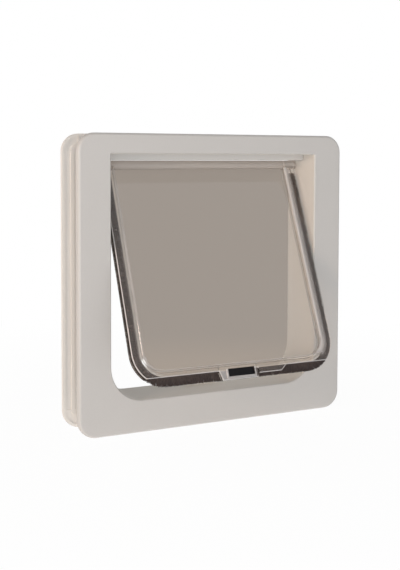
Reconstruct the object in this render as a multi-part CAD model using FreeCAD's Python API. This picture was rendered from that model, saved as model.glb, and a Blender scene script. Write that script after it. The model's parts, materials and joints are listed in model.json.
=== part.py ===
import FreeCAD, Part
import math
import os

from FreeCAD import Placement, Rotation, Vector

# Two-way pet flap for a door, standing upright as it would sit in the door.
# X runs across the frame, Y from the street side to the room side, Z up.
# The origin is the middle of the frame, on the door face that the front frame clamps.

# Driving sizes of the two frames, in millimetres
FRAME_WIDTH = 268.0
FRAME_HEIGHT = 264.0
FRAME_CORNER_R = 16.0
EDGE_ROUND = 2.5
FLANGE_DEPTH = 5.75
FACE_WALL = 2.5
SKIRT_WALL = 2.6
DOOR_THICKNESS = 36.0

# The passage through the frames
PASSAGE_WIDTH = 208.2
PASSAGE_TOP = 114.1
PASSAGE_FLOOR = -102.8
PASSAGE_TOP_R = 1.2
PASSAGE_FOOT_R = 31.0
TUNNEL_WALL = 2.6
MOUTH_CHAMFER = 0.9

# Stiffening of the flanges, and depth of the tray in the rear one
RING_INSET = 8.4
RING_WALL = 3.0
RIB_WALL = 1.6
RIB_PITCH = 58.0
RIB_SETBACK = 0.4
TRAY_DEPTH = 1.0

# Collar of the rear frame, which slides over the tunnel
SLIDE_GAP = 0.35
COLLAR_WALL = 2.2
COLLAR_DEPTH = 12.0

# Screws that draw the two frames together, beside the tunnel and inside the door's cut-out
SCREW_SPAN_Z = 150.0
SCREW_R = 1.6
SCREW_LENGTH = 35.0
SCREW_HOLE_GAP = 0.2
SCREW_BOTTOM_GAP = 2.0
HEAD_R = 3.2
HEAD_HEIGHT = 2.0
HEAD_GAP = 0.3
HEAD_SINK = 0.5
CROSS_LENGTH = 3.8
CROSS_WIDTH = 0.8
CROSS_DEPTH = 1.1
BOSS_R = 2.95
SEAT_WALL = 1.0
BOSS_END_GAP = 0.5
WEB_WALL = 2.0

# Draught lip that hangs from the tunnel roof in front of the hinge
LIP_DEPTH = 19.5
LIP_DROP = 5.6
LIP_WALL = 2.0
LIP_ROUND = 1.6
LIP_END_GAP = 0.8

# Hinge of the flap
HINGE_BELOW_ROOF = 10.1
HINGE_FROM_REAR = 11.5
PIN_R = 1.5
PIN_RUNNING_GAP = 0.05
PIN_END_GAP = 0.2
BARREL_R = 4.2
BARREL_END_GAP = 1.1
SWING_OUT_DEG = 22.9

# Clear flap with its rim
PILE_SIDE_GAP = 3.1
PILE_FLOOR_GAP = 3.9
PILE_CORNER_R = 30.0
PILE_REACH = 8.0
PILE_TOP = 9.6
PILE_WIDTH = 3.8
RIBBON_WIDTH = 4.8
RIBBON_THICKNESS = 0.8
WALL_SETBACK = 1.0
RIM_THICKNESS = 8.0
RIM_SKIN = 1.4
RIM_WEB = 1.5
RIM_INNER_STEP = 4.2
RIM_FOOT_STEP = 6.2
RIM_INNER_R = 17.0
RIM_TOP = 3.0
RIM_CHAMFER = 0.45
BEAD_WIDTH = 2.0
BEAD_RISE = 0.6
BEAD_CHAMFER = 0.5
PANEL_THICKNESS = 2.5
TAB_TO_RIM_GAP = 0.2

# Magnet pocket in the middle of the flap's foot
MAGNET_LENGTH = 26.0
MAGNET_HEIGHT = 6.8
MAGNET_THICKNESS = 3.0
MAGNET_GAP = 0.1
MAGNET_RECESS = 0.6
POCKET_TOP_COVER = 1.2
POCKET_BACK_WALL = 0.8
POCKET_RIM_WIDTH = 1.8
POCKET_RIM_RISE = 0.8
POCKET_RIM_CHAMFER = 0.5
TAB_LIP = 2.6
TAB_LEFT = 18.6
TAB_SLOPE = 2.5
TAB_RIGHT = 16.4
LOBE_START = 17.4
LOBE_END = 41.2
LOBE_SLOPE = 5.8
LOBE_DROP = 4.9

# Magnet in the sill under the closed flap
SILL_RISE = 2.4
SILL_COVER = 1.2
SILL_WALL = 3.6
SILL_MAGNET_THICKNESS = 2.6
SILL_MAGNET_WIDTH = 6.4
KEEPER_MARGIN = 1.8

# Places worked out from the sizes above
FRONT_FACE = -FLANGE_DEPTH
REAR_FACE = DOOR_THICKNESS + FLANGE_DEPTH
PASSAGE_HALF = PASSAGE_WIDTH / 2
HINGE_Y = REAR_FACE - HINGE_FROM_REAR
HINGE_Z = PASSAGE_TOP - HINGE_BELOW_ROOF
TIP_HALF = PASSAGE_HALF - PILE_SIDE_GAP
TIP_DROP = HINGE_Z - (PASSAGE_FLOOR + PILE_FLOOR_GAP)
BASE_HALF = TIP_HALF - PILE_REACH
BASE_DROP = TIP_DROP - PILE_REACH
BASE_R = PILE_CORNER_R - PILE_REACH
SKIN_HALF = TIP_HALF - WALL_SETBACK
SKIN_R = PILE_CORNER_R - WALL_SETBACK
RIM_FRONT = -RIM_THICKNESS / 2
MAGNET_TOP = BASE_DROP - POCKET_TOP_COVER
TAB_DROP = MAGNET_TOP + MAGNET_HEIGHT + TAB_LIP
TAB_BACK = RIM_FRONT + MAGNET_RECESS + MAGNET_THICKNESS + POCKET_BACK_WALL
SEAT_R = HEAD_R + HEAD_GAP + SEAT_WALL
SCREW_X = PASSAGE_HALF + TUNNEL_WALL + SLIDE_GAP + SEAT_R
PASSAGE_MID_Z = (PASSAGE_TOP + PASSAGE_FLOOR) / 2
BOSS_END = DOOR_THICKNESS - COLLAR_DEPTH - BOSS_END_GAP
HEAD_SEAT = REAR_FACE - HEAD_SINK - HEAD_HEIGHT
SCREW_TIP = HEAD_SEAT - SCREW_LENGTH


def rounded_wire(corners):
    """Closed wire in the XZ plane through corners (x, z, radius)."""
    edges = []
    starts = []
    ends = []
    for index, (x, z, radius) in enumerate(corners):
        corner = Vector(x, 0, z)
        last = corners[index - 1]
        following = corners[(index + 1) % len(corners)]
        back = (Vector(last[0], 0, last[1]) - corner).normalize()
        ahead = (Vector(following[0], 0, following[1]) - corner).normalize()
        half_angle = back.getAngle(ahead) / 2
        start = corner + back * (radius / math.tan(half_angle))
        end = corner + ahead * (radius / math.tan(half_angle))
        starts.append(start)
        ends.append(end)
        if radius > 0:
            bisector = (back + ahead).normalize()
            middle = corner + bisector * (radius / math.sin(half_angle) - radius)
            edges.append(Part.Arc(start, middle, end).toShape())
    for index in range(len(corners)):
        leave = ends[index - 1]
        arrive = starts[index]
        if leave.distanceToPoint(arrive) > 1e-6:
            edges.append(Part.LineSegment(leave, arrive).toShape())
    return Part.Wire(Part.__sortEdges__(edges))


def slab(wire, front, back):
    """Solid between two depths with the wire as its outline."""
    face = Part.Face(wire)
    face.translate(Vector(0, front, 0))
    return face.extrude(Vector(0, back - front, 0))


def block(x_low, x_high, y_low, y_high, z_low, z_high):
    """Box between its low and high sides."""
    corner = Vector(x_low, y_low, z_low)
    return Part.makeBox(x_high - x_low, y_high - y_low, z_high - z_low, corner)


def rod_along_y(radius, x, z, front, back):
    """Round bar that points from the front to the rear."""
    return Part.makeCylinder(radius, back - front, Vector(x, front, z), Vector(0, 1, 0))


def rod_along_x(radius, x_low, x_high):
    """Round bar on the flap's own hinge line."""
    return Part.makeCylinder(radius, x_high - x_low, Vector(x_low, 0, 0), Vector(1, 0, 0))


def frame_wire(inset):
    """Outline of a frame, drawn in from its edge."""
    half = FRAME_WIDTH / 2 - inset
    high = FRAME_HEIGHT / 2 - inset
    radius = FRAME_CORNER_R - inset
    return rounded_wire([(half, high, radius), (half, -high, radius),
                         (-half, -high, radius), (-half, high, radius)])


def passage_wire(outset):
    """Outline of the passage, drawn out from its inner wall."""
    half = PASSAGE_HALF + outset
    top = PASSAGE_TOP + outset
    floor = PASSAGE_FLOOR - outset
    top_r = PASSAGE_TOP_R + outset
    foot_r = PASSAGE_FOOT_R + outset
    return rounded_wire([(half, top, top_r), (half, floor, foot_r),
                         (-half, floor, foot_r), (-half, top, top_r)])


def flap_wire(half, drop, radius, top):
    """Outline of a layer of the flap, square at the top and rounded at its feet."""
    return rounded_wire([(half, -top, 0), (half, -drop, radius),
                         (-half, -drop, radius), (-half, -top, 0)])


def edges_on(shape, depth, reach):
    """Edges that lie at one depth and no further from the middle than the reach."""
    found = []
    for edge in shape.Edges:
        box = edge.BoundBox
        flat = abs(box.YMin - depth) < 1e-4 and abs(box.YMax - depth) < 1e-4
        if flat and max(-box.XMin, box.XMax) < reach + 1e-3:
            found.append(edge)
    return found


def screw_places():
    """Name and axis of each screw."""
    places = []
    for side, x in (("left", -SCREW_X), ("right", SCREW_X)):
        for level, sign in (("upper", 1), ("lower", -1)):
            z = PASSAGE_MID_Z + sign * SCREW_SPAN_Z / 2
            places.append((level + "_" + side, x, z))
    return places


def rib_places(length):
    """Even places of the ribs along a side, from one corner's end to the other's."""
    reach = length / 2 - FRAME_CORNER_R
    steps = max(2, round(2 * reach / RIB_PITCH))
    return [reach * (2 * step / steps - 1) for step in range(steps + 1)]


def flange_stiffening(front, back, tunnel_outset, ribbed):
    """Land ring, a tie at each corner's ends and, in a deep flange, ribs inside the ring."""
    tunnel = slab(passage_wire(tunnel_outset), front, back)
    whole = slab(frame_wire(SKIRT_WALL), front, back).cut(tunnel)
    inside = slab(frame_wire(RING_INSET + RING_WALL), front, back)
    added = [slab(frame_wire(RING_INSET), front, back).cut(inside)]
    inside = inside.cut(tunnel)
    for length, across in ((FRAME_WIDTH, True), (FRAME_HEIGHT, False)):
        places = rib_places(length)
        for place in places:
            low = place - RIB_WALL / 2
            high = place + RIB_WALL / 2
            if across:
                strip = block(low, high, front, back, -FRAME_HEIGHT, FRAME_HEIGHT)
            else:
                strip = block(-FRAME_WIDTH, FRAME_WIDTH, front, back, low, high)
            if place in (places[0], places[-1]):
                added.append(whole.common(strip))
            elif ribbed:
                added.append(inside.common(strip))
    return added


def make_front_frame():
    """Street-side frame, moulded in one with the tunnel that carries the flap."""
    flange = slab(frame_wire(0), FRONT_FACE, 0)
    flange = flange.makeFillet(EDGE_ROUND, edges_on(flange, FRONT_FACE, FRAME_WIDTH))
    flange = flange.cut(slab(frame_wire(SKIRT_WALL), FRONT_FACE + FACE_WALL, 0))
    tunnel = slab(passage_wire(TUNNEL_WALL), FRONT_FACE + FACE_WALL, REAR_FACE)
    added = [tunnel]
    added += flange_stiffening(FRONT_FACE + FACE_WALL, -RIB_SETBACK, TUNNEL_WALL, True)
    for _, x, z in screw_places():
        added.append(rod_along_y(BOSS_R, x, z, FRONT_FACE + FACE_WALL, BOSS_END))
        inner = math.copysign(PASSAGE_HALF + TUNNEL_WALL / 2, x)
        added.append(block(min(inner, x), max(inner, x), FRONT_FACE + FACE_WALL, BOSS_END,
                           z - WEB_WALL / 2, z + WEB_WALL / 2))
    frame = flange.fuse(added)
    frame = frame.cut(slab(passage_wire(0), FRONT_FACE, REAR_FACE))
    frame = frame.fuse([draught_lip(), sill_rise()]).removeSplitter()
    frame = frame.makeChamfer(MOUTH_CHAMFER, edges_on(frame, FRONT_FACE, PASSAGE_HALF))
    cuts = [sill_pocket(), keeper_seat()]
    for _, x, z in screw_places():
        cuts.append(rod_along_y(SCREW_R, x, z, SCREW_TIP - SCREW_BOTTOM_GAP, BOSS_END))
    hole = rod_along_x(PIN_R + PIN_RUNNING_GAP, -FRAME_WIDTH / 2, FRAME_WIDTH / 2)
    hole.translate(Vector(0, HINGE_Y, HINGE_Z))
    cuts.append(hole)
    return frame.cut(cuts)


def draught_lip():
    """Strip under the tunnel roof, rounded along its lower front edge."""
    front = FRONT_FACE + LIP_DEPTH
    half = PASSAGE_HALF - LIP_END_GAP
    foot = PASSAGE_TOP - LIP_DROP
    lip = block(-half, half, front, front + LIP_WALL, foot, PASSAGE_TOP + TUNNEL_WALL / 2)
    low_edges = [edge for edge in edges_on(lip, front, half) if edge.BoundBox.ZMax < foot + 1e-4]
    return lip.makeFillet(LIP_ROUND, low_edges)


def sill_rise():
    """Low step in the tunnel floor that houses the sill magnet."""
    half = MAGNET_LENGTH / 2 + SILL_WALL
    deep = SILL_MAGNET_WIDTH / 2 + SILL_WALL / 2
    top = PASSAGE_FLOOR + SILL_RISE
    step = block(-half, half, HINGE_Y - deep, HINGE_Y + deep, PASSAGE_FLOOR - TUNNEL_WALL, top)
    long_edges = [edge for edge in step.Edges if edge.BoundBox.ZMin > top - 1e-4]
    return step.makeChamfer(SILL_RISE / 2, long_edges)


def sill_box(margin, low, high):
    """Block on the sill magnet's plan, grown all round by a margin."""
    half = MAGNET_LENGTH / 2 + margin
    deep = SILL_MAGNET_WIDTH / 2 + margin
    return block(-half, half, HINGE_Y - deep, HINGE_Y + deep, low, high)


def sill_pocket():
    """Space for the sill magnet, open downwards."""
    top = PASSAGE_FLOOR + SILL_RISE - SILL_COVER
    return sill_box(MAGNET_GAP, PASSAGE_FLOOR - TUNNEL_WALL, top)


def keeper_seat():
    """Shallow seat under the pocket for the keeper."""
    top = PASSAGE_FLOOR + SILL_RISE - SILL_COVER - SILL_MAGNET_THICKNESS
    return sill_box(KEEPER_MARGIN, PASSAGE_FLOOR - TUNNEL_WALL, top)


def make_sill_magnet():
    """Bar magnet that draws the flap shut."""
    top = PASSAGE_FLOOR + SILL_RISE - SILL_COVER
    return sill_box(0, top - SILL_MAGNET_THICKNESS, top)


def make_magnet_keeper():
    """Thin plate pressed in under the sill magnet."""
    top = PASSAGE_FLOOR + SILL_RISE - SILL_COVER - SILL_MAGNET_THICKNESS
    return sill_box(KEEPER_MARGIN - MAGNET_GAP, PASSAGE_FLOOR - TUNNEL_WALL, top)


def make_rear_frame():
    """Room-side frame, a shallow tray with the collar that slides over the tunnel."""
    flange = slab(frame_wire(0), DOOR_THICKNESS, REAR_FACE)
    flange = flange.makeFillet(EDGE_ROUND, edges_on(flange, REAR_FACE, FRAME_WIDTH))
    plate_front = DOOR_THICKNESS + TRAY_DEPTH
    flange = flange.cut(slab(frame_wire(SKIRT_WALL), DOOR_THICKNESS, plate_front))
    bore = TUNNEL_WALL + SLIDE_GAP
    collar_front = DOOR_THICKNESS - COLLAR_DEPTH
    added = [slab(passage_wire(bore + COLLAR_WALL), collar_front, plate_front)]
    added += flange_stiffening(DOOR_THICKNESS + RIB_SETBACK, plate_front, bore, False)
    for _, x, z in screw_places():
        added.append(rod_along_y(BOSS_R, x, z, collar_front, plate_front))
    frame = flange.fuse(added)
    cuts = [slab(passage_wire(bore), collar_front, REAR_FACE)]
    for _, x, z in screw_places():
        cuts.append(rod_along_y(SCREW_R + SCREW_HOLE_GAP, x, z, collar_front, HEAD_SEAT))
        cuts.append(rod_along_y(HEAD_R + HEAD_GAP, x, z, HEAD_SEAT, REAR_FACE))
    return frame.cut(cuts).removeSplitter()


def make_screw(x, z):
    """Pan-head screw with a cross recess."""
    head_top = HEAD_SEAT + HEAD_HEIGHT
    head = rod_along_y(HEAD_R, x, z, HEAD_SEAT, head_top)
    shank = rod_along_y(SCREW_R, x, z, SCREW_TIP, HEAD_SEAT)
    long_half = CROSS_LENGTH / 2
    thin_half = CROSS_WIDTH / 2
    slots = []
    for x_half, z_half in ((long_half, thin_half), (thin_half, long_half)):
        slots.append(block(x - x_half, x + x_half, head_top - CROSS_DEPTH, head_top,
                           z - z_half, z + z_half))
    return head.fuse(shank).removeSplitter().cut(slots)


def tab_wire(margin):
    """Outline of the magnet tab that hangs below the front skin of the rim."""
    return rounded_wire([(-TAB_LEFT - TAB_SLOPE - margin, -MAGNET_TOP + RIM_FOOT_STEP / 2, 0),
                         (-TAB_LEFT - TAB_SLOPE - margin, -BASE_DROP, 0),
                         (-TAB_LEFT - margin, -TAB_DROP - margin, 0),
                         (TAB_RIGHT + margin, -TAB_DROP - margin, 0),
                         (TAB_RIGHT + margin, -MAGNET_TOP + RIM_FOOT_STEP / 2, 0)])


def lobe_wire():
    """Outline of the lower lobe beside the tab."""
    return rounded_wire([(LOBE_START, -BASE_DROP + RIM_WEB, 0),
                         (LOBE_START + TAB_LIP / 2, -BASE_DROP - LOBE_DROP, 0),
                         (LOBE_END, -BASE_DROP - LOBE_DROP, 0),
                         (LOBE_END + LOBE_SLOPE, -BASE_DROP, 0),
                         (LOBE_END + LOBE_SLOPE, -BASE_DROP + RIM_WEB, 0)])


def rim_inner_wire(outset):
    """Inner edge of the rim, grown by the bead's width where that is wanted."""
    return flap_wire(BASE_HALF - RIM_INNER_STEP + outset, BASE_DROP - RIM_FOOT_STEP + outset,
                     RIM_INNER_R + outset, 0)


def rim_side(extras):
    """One wall of the channel that grips the pile strip, with the bead along its inner edge."""
    inner_face = RIM_FRONT + RIM_SKIN
    outer = slab(flap_wire(SKIN_HALF, TIP_DROP - WALL_SETBACK, SKIN_R, RIM_TOP),
                 RIM_FRONT, inner_face)
    skin = outer.common(block(-SKIN_HALF, SKIN_HALF, RIM_FRONT, inner_face, -BASE_DROP, -RIM_TOP))
    if extras:
        skin = skin.fuse(extras).removeSplitter()
    skin = skin.makeChamfer(RIM_CHAMFER, edges_on(skin, RIM_FRONT, SKIN_HALF))
    bead_front = RIM_FRONT - BEAD_RISE
    bead = slab(rim_inner_wire(BEAD_WIDTH), bead_front, inner_face)
    bead = bead.cut(slab(rim_inner_wire(0), bead_front, inner_face))
    bead = bead.common(block(-SKIN_HALF, SKIN_HALF, bead_front, inner_face, -BASE_DROP, -RIM_TOP))
    bead = bead.makeChamfer(BEAD_CHAMFER, edges_on(bead, bead_front, SKIN_HALF))
    return skin.cut(slab(rim_inner_wire(0), RIM_FRONT, inner_face)).fuse(bead)


def magnet_window(margin, front, back):
    """Block on the flap magnet's outline, grown all round by a margin."""
    half = MAGNET_LENGTH / 2 + margin
    return block(-half, half, front, back,
                 -MAGNET_TOP - MAGNET_HEIGHT - margin, -MAGNET_TOP + margin)


def pocket_rim():
    """Raised rim at both ends and along the foot of the magnet's pocket."""
    front = RIM_FRONT - POCKET_RIM_RISE
    rim = magnet_window(MAGNET_GAP + POCKET_RIM_WIDTH, front, RIM_FRONT + MAGNET_RECESS)
    rim = rim.makeChamfer(POCKET_RIM_CHAMFER, edges_on(rim, front, SKIN_HALF))
    above = block(-SKIN_HALF, SKIN_HALF, front, RIM_FRONT + MAGNET_RECESS, -MAGNET_TOP, 0)
    return rim.cut(above)


def make_flap_panel():
    """Clear moulding: panel, rim channel, hinge barrel with its stub pins, and magnet tab."""
    half_panel = PANEL_THICKNESS / 2
    barrel_half = PASSAGE_HALF - BARREL_END_GAP
    pin_half = PASSAGE_HALF + TUNNEL_WALL - PIN_END_GAP
    panel = slab(flap_wire(BASE_HALF, BASE_DROP, BASE_R, 0), -half_panel, half_panel)
    web = slab(flap_wire(BASE_HALF, BASE_DROP, BASE_R, 0), RIM_FRONT, -RIM_FRONT)
    web = web.cut(slab(flap_wire(BASE_HALF - RIM_WEB, BASE_DROP - RIM_WEB, BASE_R - RIM_WEB, 0),
                       RIM_FRONT, -RIM_FRONT))
    inner_face = RIM_FRONT + RIM_SKIN
    front_rim = rim_side([slab(tab_wire(0), RIM_FRONT, inner_face),
                          slab(lobe_wire(), RIM_FRONT, inner_face)])
    rear_rim = rim_side([]).mirror(Vector(0, 0, 0), Vector(0, 1, 0))
    web = web.common(block(-BASE_HALF, BASE_HALF, inner_face, -inner_face, -BASE_DROP, 0))
    tab = slab(tab_wire(0), inner_face, TAB_BACK)
    flap = panel.fuse([web, front_rim, rear_rim, tab, pocket_rim(),
                       rod_along_x(BARREL_R, -barrel_half, barrel_half),
                       rod_along_x(PIN_R, -pin_half, pin_half)])
    pocket = magnet_window(MAGNET_GAP, RIM_FRONT - POCKET_RIM_RISE, TAB_BACK - POCKET_BACK_WALL)
    return flap.removeSplitter().cut(pocket)


def make_pile_strip():
    """Brush strip with its woven ribbon, bent round the sides and the foot of the flap."""
    half_ribbon = RIBBON_WIDTH / 2
    half_pile = PILE_WIDTH / 2
    ribbon = pile_layer(0, RIBBON_THICKNESS, half_ribbon)
    pile = pile_layer(RIBBON_THICKNESS, PILE_REACH, half_pile)
    strip = ribbon.fuse(pile)
    return strip.cut(slab(tab_wire(TAB_TO_RIM_GAP), RIM_FRONT, TAB_BACK + TAB_TO_RIM_GAP))


def pile_layer(inner, outer, half_width):
    """U-shaped layer between two distances from the ribbon's seat."""
    outside = flap_wire(BASE_HALF + outer, BASE_DROP + outer, BASE_R + outer, PILE_TOP)
    inside = flap_wire(BASE_HALF + inner, BASE_DROP + inner, BASE_R + inner, 0)
    layer = slab(outside, -half_width, half_width)
    return layer.cut(slab(inside, -half_width, half_width))


def make_flap_magnet():
    """Bar magnet in the flap's foot."""
    half = MAGNET_LENGTH / 2
    front = RIM_FRONT + MAGNET_RECESS
    return block(-half, half, front, front + MAGNET_THICKNESS,
                 -MAGNET_TOP - MAGNET_HEIGHT, -MAGNET_TOP)


def hung(shape):
    """Turn a piece of the closed flap out to its resting angle and hang it on the hinge."""
    place = Placement(Vector(0, HINGE_Y, HINGE_Z), Rotation(Vector(1, 0, 0), -SWING_OUT_DEG))
    moved = shape.copy()
    moved.Placement = place.multiply(moved.Placement)
    return moved


def build():
    """Every sub-part by the name of its node."""
    parts = {
        "front_frame": make_front_frame(),
        "rear_frame": make_rear_frame(),
        "sill_magnet": make_sill_magnet(),
        "magnet_keeper": make_magnet_keeper(),
        "flap_panel": hung(make_flap_panel()),
        "pile_strip": hung(make_pile_strip()),
        "flap_magnet": hung(make_flap_magnet()),
    }
    for name, x, z in screw_places():
        parts["frame_screw_" + name] = make_screw(x, z)
    return parts


os.makedirs("parts", exist_ok=True)
for node, shape in build().items():
    solids = shape.Solids
    if len(solids) != 1 or not solids[0].isValid():
        raise RuntimeError(node + " is not one valid solid")
    solids[0].exportStep("parts/" + node + ".step")
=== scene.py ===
import json
import math
import random

import bmesh
import bpy
from mathutils import Matrix, Vector


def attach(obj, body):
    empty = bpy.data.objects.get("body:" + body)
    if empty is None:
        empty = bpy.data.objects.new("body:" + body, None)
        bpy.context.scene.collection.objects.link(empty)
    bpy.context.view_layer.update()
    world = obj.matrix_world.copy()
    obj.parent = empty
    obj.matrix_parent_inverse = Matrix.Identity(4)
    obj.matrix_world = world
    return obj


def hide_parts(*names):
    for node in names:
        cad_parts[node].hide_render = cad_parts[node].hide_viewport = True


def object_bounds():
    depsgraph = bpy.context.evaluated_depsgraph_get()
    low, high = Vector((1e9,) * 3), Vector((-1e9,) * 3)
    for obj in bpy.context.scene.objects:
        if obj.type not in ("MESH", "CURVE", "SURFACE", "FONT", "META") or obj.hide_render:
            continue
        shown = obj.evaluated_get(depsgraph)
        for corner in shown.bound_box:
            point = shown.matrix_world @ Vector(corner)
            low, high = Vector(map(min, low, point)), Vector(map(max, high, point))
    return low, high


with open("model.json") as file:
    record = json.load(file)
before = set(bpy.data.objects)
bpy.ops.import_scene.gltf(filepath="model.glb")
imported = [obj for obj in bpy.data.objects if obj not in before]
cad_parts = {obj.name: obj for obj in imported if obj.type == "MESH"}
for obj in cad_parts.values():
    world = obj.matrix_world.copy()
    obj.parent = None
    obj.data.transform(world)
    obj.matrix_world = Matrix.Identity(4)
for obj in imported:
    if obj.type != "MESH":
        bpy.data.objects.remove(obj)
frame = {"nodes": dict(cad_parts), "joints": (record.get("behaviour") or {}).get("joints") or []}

# Cat flap: the finishes of the CAD pieces, the bristles of its brush, and a plain studio.
# Sizes are in metres, in the frame of the CAD pieces.

cad_low, cad_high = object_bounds()
random.seed(11)

# The flap rests open towards the street, and its range is even about closed
SWING = frame["joints"][0]
HINGE = Vector(SWING["pos_m"])
SWING_OUT = math.radians(sum(SWING["range_deg"]) / 2)

# Places on the frame where painted light changes its plastic's tone, with a skin and a margin
# that keep each change clear of the faces beside it
PASSAGE_HALF = 0.1041
PASSAGE_MIDDLE_Z = 0.00565
PASSAGE_EXTRA_HEIGHT = 0.00435
PASSAGE_SKIN = 0.0008
TUNNEL_WALL = 0.0026
MOUTH_Y = -0.0049
REAR_FRAME_Y = 0.0357
ROOF_Z = 0.1141
LIP_FOOT_Z = 0.1085
LIP_HALF = 0.1033
TONE_MARGIN = 0.0003

# Places on the closed flap, across from its middle, down from the hinge line, and in
# depth, which is below zero towards the street
BARREL_DROP = 0.0046
PANEL_HALF = 0.0888
PANEL_DROP = 0.1887
PANEL_HALF_DEPTH = 0.0014
SKIN_DEPTH = -0.0025
SKIN_HALF = 0.1000
SKIN_DROP = 0.2019
SKIN_R = 0.029
SKIN_FOOT = 0.1949
BEAD_INSET = 0.0113
GLOW_INSET = 0.0046
GLOW_FADE = 0.00625

# Magnet's pocket in the flap's foot, with the tab that holds it and the lobe beside it
POCKET_HALF = 0.0131
POCKET_DROP = 0.2006
BAR_HALF = 0.0149
BAR_TOP = 0.1937
BAR_FOOT = 0.2024
BAR_DEPTH = -0.0039
TAB_LEFT = -0.0211
TAB_LEFT_FOOT = -0.0186
TAB_RIGHT = 0.0164
TAB_FOOT = 0.2031
LOBE_LEFT = 0.0174
LOBE_RIGHT = 0.0470
LOBE_RIGHT_FOOT = 0.0412
LOBE_FOOT = 0.1998

# Strength of the painted highlights on the clear flap's edges, bead, pocket bars and tab cheek,
# and of the painted glow on its hinge barrel
EDGE_LINE = 0.0005
EDGE_LIGHT = 0.75
BEAD_LIGHT = 0.17
BEAD_LIGHT_TO_KEY = 0.50
BAR_LIGHT = 0.6
CHEEK_LIGHT = 0.5
BARREL_LIGHT = 0.45

# Brush: a ribbon in the seat round the rim, a dense root on it, and tufts
SEAT_HALF = 0.0930
SEAT_DROP = 0.1949
SEAT_R = 0.022
SEAT_START = 0.0096
SEAT_SIDE = SEAT_DROP - SEAT_R - SEAT_START
SEAT_ARC = SEAT_R * math.pi / 2
SEAT_FOOT = 2 * (SEAT_HALF - SEAT_R)
SEAT_LENGTH = 2 * SEAT_SIDE + 2 * SEAT_ARC + SEAT_FOOT
CORNER_STEPS = 14
RIBBON_HALF = 0.0023
RIBBON_THICKNESS = 0.0008
ROOT_HALF = 0.0016
ROOT_END_HALF = 0.0013
ROOT_REACH = 0.0054
PILE_HALF = 0.0019
PILE_REACH = 0.008
TUFT_STRETCHES = 48
TUFTS_PER_STRETCH = 210
TUFT_SPREAD = 0.92
TUFT_UNEVEN = 0.0010
TUFT_LEAN = 0.045
TUFT_LEAN_ACROSS = 0.05
TUFT_FOOT_R = 0.00036
TUFT_TIP_R = 0.00012

# Stretch of the foot, below everything else of the brush, where it stands behind the tab
CLEARED_LEFT = -0.0222
CLEARED_RIGHT = 0.0172
CLEARED_SLOPE = 0.0002
CLEARED_BELOW_Z = -0.15
ROOT_BEHIND_TAB = 0.0008
TUFTS_BEHIND_TAB = 0.0012

# Studio: a floor that is white to the eye, and what shows of the room through the flap
WHITE = (1.0, 1.0, 1.0, 1.0)
SOFT_LIGHT = (0.98, 0.99, 1.0, 1.0)
SOFT_STRENGTH = 0.25
THROUGH_GLASS = (0.375, 0.328, 0.287, 1.0)
FLOOR_THROUGH_GLASS = (0.430, 0.364, 0.306, 1.0)
FLOOR_Z = cad_low[2]
FLOOR_HALF = 4.0
FLOOR_GLOW = 0.42
NEAR_WHITE = 0.90
SHADE_REACH = 0.625
NEAR_FLOOR = 0.26
NEAR_FLOOR_FADE = 0.2

# Camera, from a fit to the photograph's corners and edges
PHOTO_WIDTH = 400.0
PHOTO_HEIGHT = 570.0
FOCAL_PIXELS = 984.3
AIM_ROW = 210.7
SENSOR_WIDTH = 36.0
CAMERA_PLACE = (-0.4194, -0.79405, 0.1095)
CAMERA_YAW = math.radians(26.96)
CAMERA_PITCH = math.radians(3.0)
CAMERA_ROLL = math.radians(0.14)


class Shade:
    """Value on a node's socket, so that shader maths reads as plain sums."""

    def __init__(self, finish, socket):
        self.finish = finish
        self.socket = socket

    def __add__(self, other):
        return self.finish.maths("ADD", self, other)

    def __radd__(self, other):
        return self.finish.maths("ADD", other, self)

    def __sub__(self, other):
        return self.finish.maths("SUBTRACT", self, other)

    def __rsub__(self, other):
        return self.finish.maths("SUBTRACT", other, self)

    def __mul__(self, other):
        return self.finish.maths("MULTIPLY", self, other)

    def __rmul__(self, other):
        return self.finish.maths("MULTIPLY", other, self)

    def __lt__(self, other):
        return self.finish.maths("LESS_THAN", self, other)

    def __gt__(self, other):
        return self.finish.maths("GREATER_THAN", self, other)

    def __abs__(self):
        return self.finish.maths("ABSOLUTE", self)

    def square_root(self):
        return self.finish.maths("SQRT", self)


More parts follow.
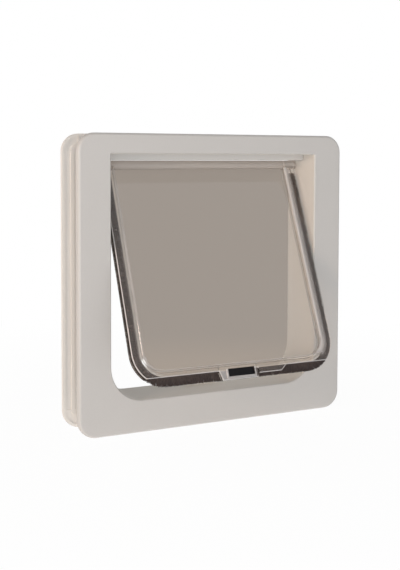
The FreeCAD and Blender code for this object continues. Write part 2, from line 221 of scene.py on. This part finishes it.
class Finish:
    """Node tree of a material, or of the room, under construction."""

    def __init__(self, owner):
        owner.use_nodes = True
        self.owner = owner
        self.tree = owner.node_tree
        self.tree.nodes.clear()

    def node(self, kind, settings=None, inputs=None):
        """Add a node, set its options and then fill or link its sockets."""
        made = self.tree.nodes.new(kind)
        for name, value in (settings or {}).items():
            setattr(made, name, value)
        for key, value in (inputs or {}).items():
            self.feed(made.inputs[key], value)
        return made

    def feed(self, socket, value):
        """Link a socket, or give it a plain value."""
        if isinstance(value, Shade):
            value = value.socket
        if isinstance(value, bpy.types.NodeSocket):
            self.tree.links.new(value, socket)
        else:
            socket.default_value = value

    def maths(self, operation, *values):
        """Result of a Math node on one or two values."""
        made = self.node("ShaderNodeMath", {"operation": operation}, dict(enumerate(values)))
        return Shade(self, made.outputs[0])

    def place(self):
        """Place on the piece."""
        return self.node("ShaderNodeTexCoord").outputs["Object"]

    def axes(self, vector):
        """The three parts of a place."""
        made = self.node("ShaderNodeSeparateXYZ", None, {0: vector})
        return [Shade(self, output) for output in made.outputs]

    def noise(self, scale, detail, roughness=0.5, vector=None):
        """Soft noise from 0 to 1, with its middle at 0.5."""
        made = self.node("ShaderNodeTexNoise", None, {
            "Vector": self.place() if vector is None else vector,
            "Scale": scale, "Detail": detail, "Roughness": roughness})
        return Shade(self, made.outputs["Fac"])

    def blend(self, amount, low, high):
        """Colour between two others."""
        made = self.node("ShaderNodeMix", {"data_type": "RGBA"},
                         {0: amount, 6: low, 7: high})
        return made.outputs[2]

    def bump(self, height, distance, strength):
        """Normal of a slightly uneven surface."""
        made = self.node("ShaderNodeBump", None, {
            "Height": height, "Distance": distance, "Strength": strength})
        return made.outputs["Normal"]

    def ray(self, kind):
        """1 for one kind of light ray, 0 for the others."""
        return Shade(self, self.node("ShaderNodeLightPath").outputs[kind])

    def principled(self, **sockets):
        """Surface shader, with underscores for the spaces in its sockets' names."""
        made = self.node("ShaderNodeBsdfPrincipled", None,
                         {name.replace("_", " "): value for name, value in sockets.items()})
        return made.outputs[0]

    def light(self, kind, colour, strength=1.0):
        """Even light from an emission or a background node."""
        return self.node(kind, None, {"Color": colour, "Strength": strength}).outputs[0]

    def mix(self, amount, low, high):
        """Shader between two others."""
        return self.node("ShaderNodeMixShader", None, {0: amount, 1: low, 2: high}).outputs[0]

    def surface(self, shader, output="ShaderNodeOutputMaterial"):
        """Show a shader, and give back the material or the room, now complete."""
        self.node(output, None, {"Surface": shader})
        return self.owner


def new_finish(name):
    """Empty material, ready for its nodes."""
    return Finish(bpy.data.materials.new(name))


def larger(first, second):
    """The larger of two values, which also joins two masks."""
    return first.finish.maths("MAXIMUM", first, second)


def smaller(first, second):
    """The smaller of two values, which also joins two outlines."""
    return first.finish.maths("MINIMUM", first, second)


def from_0_to_1(value):
    """A value kept within 0 and 1."""
    return smaller(larger(value, 0.0), 1.0)


def rgb(red, green, blue):
    return (red, green, blue, 1.0)


def frame_plastic():
    """Light grey moulded plastic with a fine satin grain.

    It has painted light: a lighter tone in the passage and on the rear frame stands in for the
    room's light there.
    """
    finish = new_finish("frame_plastic")
    cloud = finish.noise(scale=9.0, detail=3.0)
    speck = finish.noise(scale=520.0, detail=2.0, roughness=0.6)
    grain = finish.noise(scale=1500.0, detail=2.0, roughness=0.55)
    tone = 0.55 * cloud + 0.45 * speck
    face_tone = finish.blend(tone, rgb(0.590, 0.562, 0.532), rgb(0.650, 0.620, 0.588))
    # Painted light: lighter tones for the rear frame and a lighter, warmer one for the passage,
    # where the room's light falls
    rear_painted_light_tone = finish.blend(tone, rgb(0.840, 0.792, 0.735), rgb(0.895, 0.850, 0.795))
    passage_painted_light_tone = finish.blend(tone, rgb(0.658, 0.620, 0.566), rgb(0.725, 0.684, 0.625))
    side, depth, height = finish.axes(finish.place())
    across = abs(side)
    from_middle = abs(height - PASSAGE_MIDDLE_Z)
    out = larger(across, from_middle - PASSAGE_EXTRA_HEIGHT) - PASSAGE_HALF
    lip = ((height > LIP_FOOT_Z - TONE_MARGIN) * (height < ROOF_Z - TONE_MARGIN)
           * (across < LIP_HALF + TONE_MARGIN))
    # Masks for the painted light on the rear frame and in the passage; the lip keeps the face's
    # tone
    rear = (out > TUNNEL_WALL + TONE_MARGIN) * (depth > REAR_FRAME_Y)
    passage = (out < PASSAGE_SKIN) * (depth > MOUTH_Y) * (1.0 - lip)
    colour = finish.blend(passage, finish.blend(rear, face_tone, rear_painted_light_tone), passage_painted_light_tone)
    return finish.surface(finish.principled(
        Base_Color=colour, Roughness=0.40 + 0.16 * speck,
        Normal=finish.bump(grain, distance=0.00006, strength=0.55)))


def clear_plastic():
    """Clear moulding: smoke tint, deepest in the panel, with painted highlights along its edges
    and a painted glow on its hinge barrel.
    """
    finish = new_finish("flap_plastic")
    closed = finish.node("ShaderNodeMapping", {"vector_type": "TEXTURE"}, {
        "Vector": finish.place(), "Location": tuple(HINGE), "Rotation": (-SWING_OUT, 0, 0)})
    side, depth, height = finish.axes(closed.outputs[0])
    drop = 0.0 - height
    across = abs(side)
    barrel = drop < BARREL_DROP
    panel = (across < PANEL_HALF) * (drop < PANEL_DROP) * (abs(depth) < PANEL_HALF_DEPTH)
    haze = finish.noise(scale=60.0, detail=3.0)
    glass = finish.principled(
        Base_Color=finish.blend(larger(panel, barrel), rgb(0.95, 0.94, 0.93),
                                rgb(0.86, 0.855, 0.85)),
        Roughness=0.03 + 0.05 * haze, IOR=1.49, Specular_IOR_Level=0.16,
        Transmission_Weight=1.0)
    # Painted highlight: an opaque light shader, warmer on the hinge barrel for a painted glow
    # there
    painted_highlight_shader = finish.principled(
        Base_Color=finish.blend(barrel, rgb(0.74, 0.70, 0.68), rgb(0.55, 0.49, 0.44)),
        Roughness=0.35)
    # Painted highlight: masks for the skin's edge line, the bead, the pocket bars, the tab cheek
    # and the hinge barrel
    front = depth < SKIN_DEPTH
    rim = outside_rim(across, drop)
    line = abs(outside_skin(rim, side, drop)) < EDGE_LINE
    painted_highlight = larger(line * EDGE_LIGHT, beside_bead(rim, side)) * front
    painted_highlight = larger(painted_highlight, pocket_bars(across, drop, depth) * BAR_LIGHT)
    painted_highlight = larger(painted_highlight, tab_cheek(side, drop) * front * CHEEK_LIGHT)
    painted_highlight = larger(painted_highlight, barrel * BARREL_LIGHT)
    lamps_through = finish.node("ShaderNodeBsdfTransparent", None,
                                {"Color": rgb(0.78, 0.74, 0.70)}).outputs[0]
    return finish.surface(finish.mix(
        finish.ray("Is Shadow Ray"), finish.mix(painted_highlight, glass, painted_highlight_shader), lamps_through))


def outside_rim(across, drop):
    """Distance outside the rim's front skin without its tab and lobe, negative within."""
    out = larger(across - (SKIN_HALF - SKIN_R), 0.0)
    down = larger(drop - (SKIN_DROP - SKIN_R), 0.0)
    corner = (out * out + down * down).square_root() - SKIN_R
    return larger(corner, drop - SKIN_FOOT)


def beyond_slant(side, drop, top, foot, foot_drop):
    """Distance beyond a slanted edge that runs from the skin's foot down and inwards."""
    lean = math.atan2(abs(top - foot), foot_drop - SKIN_FOOT)
    outwards = math.copysign(math.cos(lean), top)
    return math.sin(lean) * (drop - SKIN_FOOT) + outwards * (side - top)


def outside_skin(rim, side, drop):
    """Distance outside the whole front skin, with its tab and lobe."""
    tab = larger(drop - TAB_FOOT, side - TAB_RIGHT)
    tab = larger(tab, beyond_slant(side, drop, TAB_LEFT, TAB_LEFT_FOOT, TAB_FOOT))
    lobe = larger(drop - LOBE_FOOT, LOBE_LEFT - side)
    lobe = larger(lobe, beyond_slant(side, drop, LOBE_RIGHT, LOBE_RIGHT_FOOT, LOBE_FOOT))
    return smaller(rim, smaller(tab, lobe))


def beside_bead(rim, side):
    """Painted highlight on the bead, fading towards the skin's edge, stronger on the key's side.
    """
    fade = from_0_to_1((rim + GLOW_INSET) * (-1 / GLOW_FADE))
    return (rim > -BEAD_INSET) * fade * (BEAD_LIGHT + BEAD_LIGHT_TO_KEY * (side > 0.0))


def tab_cheek(side, drop):
    """Solid part of the tab between its slanted edge and the magnet's pocket."""
    slant = beyond_slant(side, drop, TAB_LEFT, TAB_LEFT_FOOT, TAB_FOOT)
    return (side < -POCKET_HALF) * (drop > SKIN_FOOT) * (slant < 0.0)


def pocket_bars(across, drop, depth):
    """Raised bars at both ends and along the foot of the magnet's pocket."""
    bars = larger(across > POCKET_HALF, drop > POCKET_DROP)
    return (bars * (across < BAR_HALF) * (drop > BAR_TOP) * (drop < BAR_FOOT)
            * (depth < BAR_DEPTH))


def brush_pile():
    """Dark brown bristles, each tuft a little different."""
    finish = new_finish("pile")
    tuft = finish.noise(scale=900.0, detail=1.0, roughness=0.6)
    patch = finish.noise(scale=70.0, detail=2.0)
    colour = finish.blend(0.75 * tuft + 0.35 * patch,
                          rgb(0.012, 0.009, 0.008), rgb(0.128, 0.094, 0.084))
    return finish.surface(finish.principled(
        Base_Color=colour, Roughness=0.62 + 0.25 * tuft, Sheen_Weight=0.10,
        Specular_IOR_Level=0.2))


def magnet_black():
    """Near-black coated magnet."""
    finish = new_finish("magnet_black")
    grain = finish.noise(scale=1100.0, detail=2.0)
    colour = finish.blend(grain, rgb(0.003, 0.003, 0.004), rgb(0.010, 0.009, 0.011))
    return finish.surface(finish.principled(
        Base_Color=colour, Roughness=0.38 + 0.14 * grain, Specular_IOR_Level=0.12,
        Normal=finish.bump(grain, distance=0.00003, strength=0.4)))


def plain_steel(name, tint, roughness):
    """Steel with fine drawn marks along X."""
    finish = new_finish(name)
    stretched = finish.node("ShaderNodeMapping", None, {
        "Vector": finish.place(), "Scale": (60.0, 1800.0, 1800.0)}).outputs[0]
    marks = finish.noise(scale=1.0, detail=2.0, vector=stretched)
    dark = rgb(*(0.8 * part for part in tint))
    return finish.surface(finish.principled(
        Base_Color=finish.blend(marks, dark, rgb(*tint)), Metallic=1.0,
        Roughness=roughness + 0.2 * marks,
        Normal=finish.bump(marks, distance=0.00002, strength=0.3)))


def dress(node, material):
    """Give a CAD node its finish."""
    for slot in frame["nodes"][node].material_slots:
        slot.material = material


def onto_flap():
    """Takes the closed flap, hung at the origin, to its resting place."""
    return Matrix.Translation(HINGE) @ Matrix.Rotation(-SWING_OUT, 4, "X")


def seat_corner(side):
    """Middle of the seat's rounded corner, on the left for -1 and on the right for 1."""
    return Vector((side * (SEAT_HALF - SEAT_R), 0, SEAT_R - SEAT_DROP))


def seat_path(run):
    """Point and outward direction on the pile's seat, after a run from the top left."""
    if run < SEAT_SIDE:
        return Vector((-SEAT_HALF, 0, -SEAT_START - run)), Vector((-1, 0, 0))
    run -= SEAT_SIDE
    if run < SEAT_ARC:
        turn = run / SEAT_R
        out = Vector((-math.cos(turn), 0, -math.sin(turn)))
        return seat_corner(-1) + out * SEAT_R, out
    run -= SEAT_ARC
    if run < SEAT_FOOT:
        return Vector((SEAT_R - SEAT_HALF + run, 0, -SEAT_DROP)), Vector((0, 0, -1))
    run -= SEAT_FOOT
    if run < SEAT_ARC:
        turn = run / SEAT_R
        out = Vector((math.sin(turn), 0, -math.cos(turn)))
        return seat_corner(1) + out * SEAT_R, out
    run -= SEAT_ARC
    return Vector((SEAT_HALF, 0, SEAT_R - SEAT_DROP + run)), Vector((1, 0, 0))


def new_object(name, mesh_maker, material):
    """Object made from a bmesh, with its finish."""
    bm = bmesh.new()
    mesh_maker(bm)
    mesh = bpy.data.meshes.new(name)
    bm.to_mesh(mesh)
    bm.free()
    mesh.materials.append(material)
    made = bpy.data.objects.new(name, mesh)
    bpy.context.scene.collection.objects.link(made)
    return made


def pile_core(bm):
    """Ribbon and dense root of the brush, swept round the flap's foot."""
    profile = [bm.verts.new((-SEAT_HALF - out, across, -SEAT_START)) for out, across in (
        (0.0, -RIBBON_HALF), (RIBBON_THICKNESS, -RIBBON_HALF),
        (RIBBON_THICKNESS, -ROOT_HALF), (ROOT_REACH, -ROOT_END_HALF),
        (ROOT_REACH, ROOT_END_HALF), (RIBBON_THICKNESS, ROOT_HALF),
        (RIBBON_THICKNESS, RIBBON_HALF), (0.0, RIBBON_HALF))]
    end = run_on(bm, [bm.faces.new(profile)], Vector((0, 0, -SEAT_SIDE)))
    end = turn_on(bm, end, seat_corner(-1))
    end = run_on(bm, end, Vector((SEAT_FOOT, 0, 0)))
    end = turn_on(bm, end, seat_corner(1))
    run_on(bm, end, Vector((0, 0, SEAT_SIDE)))
    bm.faces.new(profile)
    clear_tab(bm)
    bmesh.ops.remove_doubles(bm, verts=bm.verts, dist=1e-6)
    bmesh.ops.recalc_face_normals(bm, faces=bm.faces)
    bmesh.ops.transform(bm, matrix=onto_flap(), verts=bm.verts)


def run_on(bm, faces, step):
    """Carry the end faces on in a straight line."""
    made = bmesh.ops.extrude_face_region(bm, geom=faces)["geom"]
    verts = [item for item in made if isinstance(item, bmesh.types.BMVert)]
    bmesh.ops.translate(bm, verts=verts, vec=step)
    return open_joint(bm, faces, made)


def turn_on(bm, faces, centre):
    """Carry the end faces round a quarter turn."""
    made = bmesh.ops.spin(bm, geom=faces, cent=centre, axis=Vector((0, -1, 0)),
                          angle=math.pi / 2, steps=CORNER_STEPS,
                          use_duplicate=False)["geom_last"]
    return open_joint(bm, faces, made)


def open_joint(bm, faces, made):
    """Remove the wall left inside before a new stretch, and give back its end faces."""
    inner = [face for face in faces if face.is_valid]
    bmesh.ops.delete(bm, geom=inner, context="FACES_ONLY")
    return [item for item in made if isinstance(item, bmesh.types.BMFace)]


def clear_tab(bm):
    """Cut the root back behind the magnet's tab."""
    for place in (CLEARED_LEFT, CLEARED_LEFT + CLEARED_SLOPE,
                  CLEARED_RIGHT - CLEARED_SLOPE, CLEARED_RIGHT):
        bmesh.ops.bisect_plane(bm, geom=bm.verts[:] + bm.edges[:] + bm.faces[:],
                               plane_co=(place, 0, 0), plane_no=(1, 0, 0), dist=1e-7)
    left = CLEARED_LEFT + CLEARED_SLOPE / 2
    right = CLEARED_RIGHT - CLEARED_SLOPE / 2
    for vert in bm.verts:
        if left < vert.co.x < right and vert.co.z < CLEARED_BELOW_Z:
            vert.co.y = max(vert.co.y, ROOT_BEHIND_TAB)


def tuft_stretch(bm, start, end):
    """Tapered tufts over one stretch of the seat."""
    for _ in range(TUFTS_PER_STRETCH):
        point, out = seat_path(random.uniform(start, end))
        across = random.uniform(-1, 1) * PILE_HALF * TUFT_SPREAD
        if CLEARED_LEFT < point.x < CLEARED_RIGHT and point.z < CLEARED_BELOW_Z:
            across = random.uniform(TUFTS_BEHIND_TAB, PILE_HALF)
        tall = PILE_REACH - RIBBON_THICKNESS - random.uniform(0, TUFT_UNEVEN)
        lean = Vector((random.gauss(0, TUFT_LEAN), random.gauss(0, TUFT_LEAN_ACROSS),
                       random.gauss(0, TUFT_LEAN)))
        direction = (out + lean).normalized()
        turn = direction.to_track_quat("Z", "Y").to_matrix().to_4x4()
        foot = point + out * RIBBON_THICKNESS + Vector((0, across, 0))
        place = Matrix.Translation(foot + direction * tall / 2) @ turn
        bmesh.ops.create_cone(bm, cap_ends=True, segments=3, radius1=TUFT_FOOT_R,
                              radius2=TUFT_TIP_R, depth=tall, matrix=onto_flap() @ place)


def pile_tufts(bm):
    """All the tufts, made a stretch at a time, which is much faster."""
    for index in range(TUFT_STRETCHES):
        part = bmesh.new()
        tuft_stretch(part, SEAT_LENGTH * index / TUFT_STRETCHES,
                     SEAT_LENGTH * (index + 1) / TUFT_STRETCHES)
        stretch = bpy.data.meshes.new("stretch")
        part.to_mesh(stretch)
        part.free()
        bm.from_mesh(stretch)
        bpy.data.meshes.remove(stretch)


def flat_floor(bm):
    """Wide square that the frame stands on."""
    bmesh.ops.create_grid(bm, x_segments=1, y_segments=1, size=FLOOR_HALF)
    bmesh.ops.translate(bm, verts=bm.verts, vec=(0, 0, FLOOR_Z))


def seen_or_mirrored(finish):
    """1 for what is looked at directly or in a gloss, 0 for what only sheds light."""
    return larger(finish.ray("Is Camera Ray"), finish.ray("Is Glossy Ray"))


def pale_floor():
    """White where it is looked at, softly shaded near the object, warm grey through the flap."""
    finish = new_finish("pale_floor")
    length = finish.node("ShaderNodeVectorMath", {"operation": "LENGTH"}, {0: finish.place()})
    away = Shade(finish, length.outputs["Value"])
    far = smaller(away * (1 / SHADE_REACH), 1.0)
    dull = finish.principled(Base_Color=rgb(0.86, 0.86, 0.86), Roughness=0.9,
                             Emission_Color=WHITE, Emission_Strength=FLOOR_GLOW)
    white = finish.light("ShaderNodeEmission", WHITE)
    shown = finish.mix(seen_or_mirrored(finish) * (NEAR_WHITE + (1 - NEAR_WHITE) * far),
                       dull, white)
    behind = from_0_to_1((away - NEAR_FLOOR) * (1 / NEAR_FLOOR_FADE))
    through = finish.light("ShaderNodeEmission",
                           finish.blend(behind, FLOOR_THROUGH_GLASS, THROUGH_GLASS))
    return finish.surface(finish.mix(
        finish.ray("Is Transmission Ray"), shown, through))


def light_the_room():
    """White to the eye, warm grey through the flap, soft light for everything else."""
    room = Finish(bpy.data.worlds.new("room"))
    soft = room.light("ShaderNodeBackground", SOFT_LIGHT, SOFT_STRENGTH)
    white = room.light("ShaderNodeBackground", WHITE)
    through = room.light("ShaderNodeBackground", THROUGH_GLASS)
    shown = room.mix(seen_or_mirrored(room), soft, white)
    everywhere = room.mix(room.ray("Is Transmission Ray"), shown, through)
    bpy.context.scene.world = room.surface(everywhere, "ShaderNodeOutputWorld")


def area_lamp(name, place, size, watts, colour):
    """Round soft lamp that points at the middle of the frame."""
    data = bpy.data.lights.new(name, "AREA")
    data.shape = "DISK"
    data.size = size
    data.energy = watts
    data.color = colour
    lamp = bpy.data.objects.new(name, data)
    bpy.context.scene.collection.objects.link(lamp)
    lamp.location = place
    lamp.rotation_euler = (-Vector(place)).to_track_quat("-Z", "Y").to_euler()


def photo_camera():
    """Camera at the photograph's place, turn and framing."""
    level = Vector((math.sin(CAMERA_YAW), math.cos(CAMERA_YAW), 0))
    side = Vector((math.cos(CAMERA_YAW), -math.sin(CAMERA_YAW), 0))
    upright = Vector((0, 0, 1))
    ahead = level * math.cos(CAMERA_PITCH) - upright * math.sin(CAMERA_PITCH)
    above = upright * math.cos(CAMERA_PITCH) + level * math.sin(CAMERA_PITCH)
    right = side * math.cos(CAMERA_ROLL) + above * math.sin(CAMERA_ROLL)
    up = above * math.cos(CAMERA_ROLL) - side * math.sin(CAMERA_ROLL)
    data = bpy.data.cameras.new("camera")
    data.sensor_fit = "HORIZONTAL"
    data.sensor_width = SENSOR_WIDTH
    data.lens = FOCAL_PIXELS * SENSOR_WIDTH / PHOTO_WIDTH
    data.shift_y = -(PHOTO_HEIGHT / 2 - AIM_ROW) / PHOTO_WIDTH
    camera = bpy.data.objects.new("camera", data)
    bpy.context.scene.collection.objects.link(camera)
    turn = Matrix((right, up, -ahead)).transposed().to_4x4()
    camera.matrix_world = Matrix.Translation(CAMERA_PLACE) @ turn
    bpy.context.scene.camera = camera


# Finishes of the CAD pieces
frame_finish = frame_plastic()
pile_finish = brush_pile()
magnet_finish = magnet_black()
screw_finish = plain_steel("screw_steel", (0.68, 0.68, 0.65), roughness=0.26)
dress("front_frame", frame_finish)
dress("rear_frame", frame_finish)
dress("flap_panel", clear_plastic())
dress("pile_strip", pile_finish)
dress("flap_magnet", magnet_finish)
dress("sill_magnet", magnet_finish)
dress("magnet_keeper", plain_steel("keeper_steel", (0.55, 0.55, 0.54), roughness=0.30))
for node in frame["nodes"]:
    if node.startswith("frame_screw"):
        dress(node, screw_finish)

# Brush pile with bristles of its own
for name, mesh_maker in (("pile_root", pile_core), ("pile_tufts", pile_tufts)):
    piece = new_object(name, mesh_maker, pile_finish)
    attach(piece, "flap")
    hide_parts("pile_strip")

# Room, lamps and camera
new_object("floor", flat_floor, pale_floor())
light_the_room()
area_lamp("key", place=(-1.83, -0.61, 0.33), size=0.55, watts=12.6, colour=(1.0, 0.79, 0.64))
area_lamp("front", place=(-0.80, -1.75, 0.02), size=0.9, watts=15.6, colour=(0.86, 0.93, 1.0))
photo_camera()
bpy.context.scene.view_settings.view_transform = "Standard"
